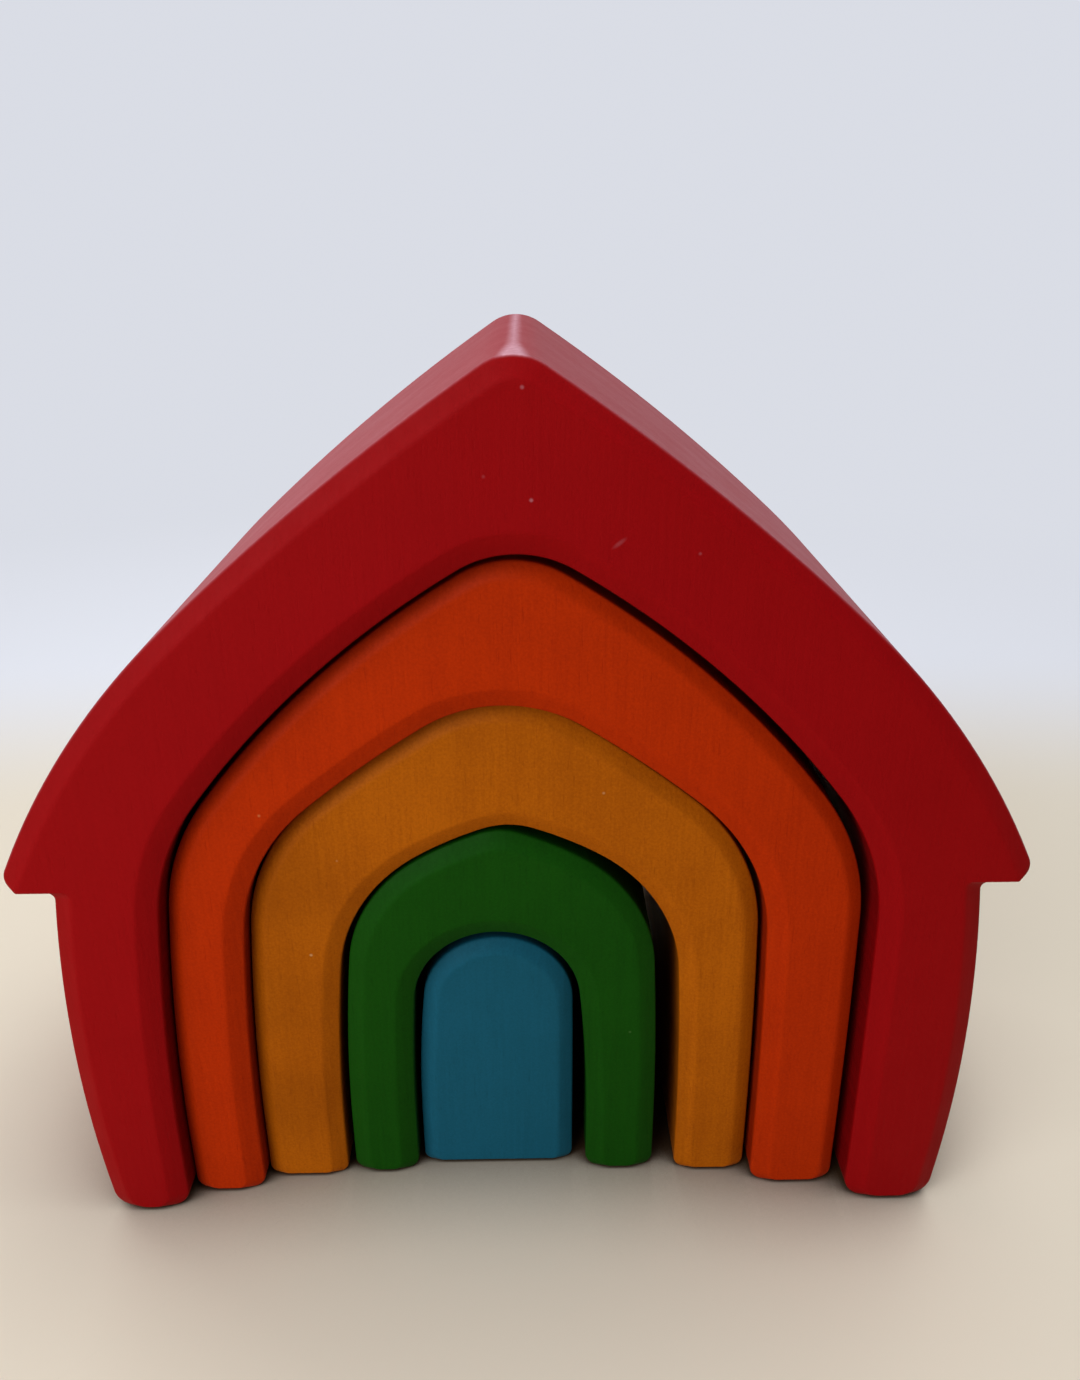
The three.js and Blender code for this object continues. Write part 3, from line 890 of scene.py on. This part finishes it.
# %% Stage
FLOOR_SIZE = 12
TABLE = colour(222, 213, 196)
WALL, WALL_GLOW = colour(226, 229, 238), 0.92
SHADE = colour(184, 164, 138)  # of the light that the table throws back at the toy
# painted shade that darkens the table's colour between blocks
PAINTED_GAP_SHADE = colour(64, 46, 30)  # of the table between blocks
GAP_REACH, GAP_RAYS = 0.04, 16  # how far, and with how many rays, a place looks for blocks round it
GAP_OPEN = (0.15, 0.85)  # share of free rays: in a gap, and in the open
TABLE_END = (0.10, 0.24)  # behind the toy: from the table's colour to the wall's
TABLE_GLOSS = 0.5  # share of the table's own colour in reflections
FADE_OUT = (0.14, 0.55)  # round the toy: from the lit table to the background
BACK_GLOSS = (0.0, 0.3)  # behind the toy: where the background shows in reflections


def seen_rays(finish, gloss):
    """1 for rays from the camera, and a share of that for rays off a glossy surface."""
    eye, shine, through = (
        finish.node("ShaderNodeLightPath", out=out)
        for out in ("Is Camera Ray", "Is Glossy Ray", "Is Transmission Ray")
    )
    return eye + through + shine * gloss


bpy.ops.object.select_all(action="DESELECT")
bpy.ops.mesh.primitive_plane_add(size=FLOOR_SIZE)
floor = bpy.context.object
floor.name = "floor"
table = Finish(bpy.data.materials.new("pale table"))
spot = table.node("ShaderNodeTexCoord", out="Object")
back = table.node("ShaderNodeSeparateXYZ", {}, {0: spot}, out=1)
distance = table.node("ShaderNodeVectorMath", {"operation": "LENGTH"}, {0: spot}, out="Value")
free = table.node(
    "ShaderNodeAmbientOcclusion", {"samples": GAP_RAYS}, {"Distance": GAP_REACH}, out="AO",
)
pale = mix(table, ramp(table, back, *TABLE_END), TABLE, WALL)
# painted shade in the gaps between blocks, by Ambient Occlusion
pale = mix(table, ramp(table, free, *GAP_OPEN), PAINTED_GAP_SHADE, pale)
pale = mix(table, seen_rays(table, TABLE_GLOSS), SHADE, pale)
matt = table.node("ShaderNodeBsdfDiffuse", {}, {"Color": pale})
glow = table.node("ShaderNodeEmission", {}, {"Color": WALL, "Strength": WALL_GLOW})
fade = ramp(table, distance, *FADE_OUT) * seen_rays(table, ramp(table, back, *BACK_GLOSS))
both = table.node("ShaderNodeMixShader", {}, {0: fade, 1: matt, 2: glow})
table.node("ShaderNodeOutputMaterial", {}, {"Surface": both})
floor.data.materials.append(table.owner)
print("floor ready")

# %% [markdown]
# ## The room
# The world gives a weak light, stronger from the front than from behind. Its glossy rays see a bright wall
# behind the toy and a dim room elsewhere, so the roof has a shine towards the camera and the front faces
# stay clear of haze.

# %% Room
WALL_SIDES = (0.1, 0.7)  # share of a direction that points back: from beside the wall to the wall
WALL_TOP = (0.05, 0.6)  # share that points up: from the wall to over it
WALL_GLOSS, ROOM_GLOSS = 1.0, -0.2  # of the wall's glow in reflections; below 0, dimmer than the light
FRONT_TO_BACK = (-0.5, 0.3)
FRONT_LIGHT, BACK_LIGHT = 0.24, 0.05

room = Finish(bpy.data.worlds.new("room"))
bpy.context.scene.world = room.owner
direction = room.node("ShaderNodeTexCoord", out="Generated")
behind, above = (room.node("ShaderNodeSeparateXYZ", {}, {0: direction}, out=i) for i in (1, 2))
wall_share = ramp(room, behind, *WALL_SIDES) * ramp(room, above, *WALL_TOP, 1.0, 0.0)
gloss = wall_share * (WALL_GLOSS - ROOM_GLOSS) + ROOM_GLOSS
light = ramp(room, behind, *FRONT_TO_BACK, FRONT_LIGHT, BACK_LIGHT)
strength = light + seen_rays(room, gloss) * (WALL_GLOW - light)
air = room.node("ShaderNodeBackground", {}, {"Color": WALL, "Strength": strength})
room.node("ShaderNodeOutputWorld", {}, {"Surface": air})
print("room ready")

# %% [markdown]
# ## Light
# Most light comes from a broad window on the left, in front of the toy and above it. Bevels that face left
# get brighter and those that face right get darker, which is what shows the shallow bevels at all. The
# window is near enough for the right side of the toy to be a little dimmer. A pale ceiling lights the roof
# and the table from the right, and a wall behind sends some light back. That wall is off to the left, so
# that no light shines along the gaps between the blocks. Area lamps stand for all three.

# %% Window, ceiling and wall
TOY_MIDDLE = Vector((0, 0, 0.07))


def soft_lamp(name, place, size, power, shine=True):
    """Square area lamp that faces the toy, with or without a shine on it."""
    bpy.ops.object.light_add(type="AREA", location=place)
    lamp = bpy.context.object
    lamp.name = name
    lamp.data.size = size
    lamp.data.energy = power
    lamp.visible_glossy = shine
    aim = TOY_MIDDLE - Vector(place)
    lamp.rotation_euler = aim.to_track_quat("-Z", "Y").to_euler()
    print(name, "lamp", round(aim.length, 2), "m from the toy")


soft_lamp("window", place=(-0.364, -0.429, 0.33), size=0.52, power=2.8)
soft_lamp("ceiling", place=(0.28, 0.12, 1.0), size=0.8, power=8.0)
soft_lamp("wall", place=(-0.58, 0.75, 0.30), size=0.8, power=5.5, shine=False)

# %% [markdown]
# ## Camera
# The photograph was taken from close by and a little above. A camera's place, turn and tilt were worked out
# from the directions in which the toy's edges converge, and its lens from the width of the view.

# %% Camera
CAMERA_PLACE = (0.001477, -0.1887, 0.1668)
PITCH, YAW, ROLL = 23.2, 0.74, -0.288  # degrees
SENSOR = 36  # mm, along the view's height, its longer side
VIEW_HEIGHT, FOCAL_PIXELS = 1380, 1080
NEAREST = 0.01
forward = Vector((sine(YAW) * cosine(PITCH), cosine(YAW) * cosine(PITCH), -sine(PITCH)))
level = Vector((cosine(YAW), -sine(YAW), 0))
upright = level.cross(forward)
right = cosine(ROLL) * level + sine(ROLL) * upright
up = -sine(ROLL) * level + cosine(ROLL) * upright
bpy.ops.object.camera_add()
camera = bpy.context.object
turn = Matrix((right, up, -forward)).transposed().to_4x4()
camera.matrix_world = Matrix.Translation(CAMERA_PLACE) @ turn
camera.data.sensor_width = SENSOR
camera.data.lens = SENSOR * FOCAL_PIXELS / VIEW_HEIGHT
camera.data.clip_start = NEAREST
bpy.context.scene.camera = camera
print("lens:", round(camera.data.lens, 2), "mm")
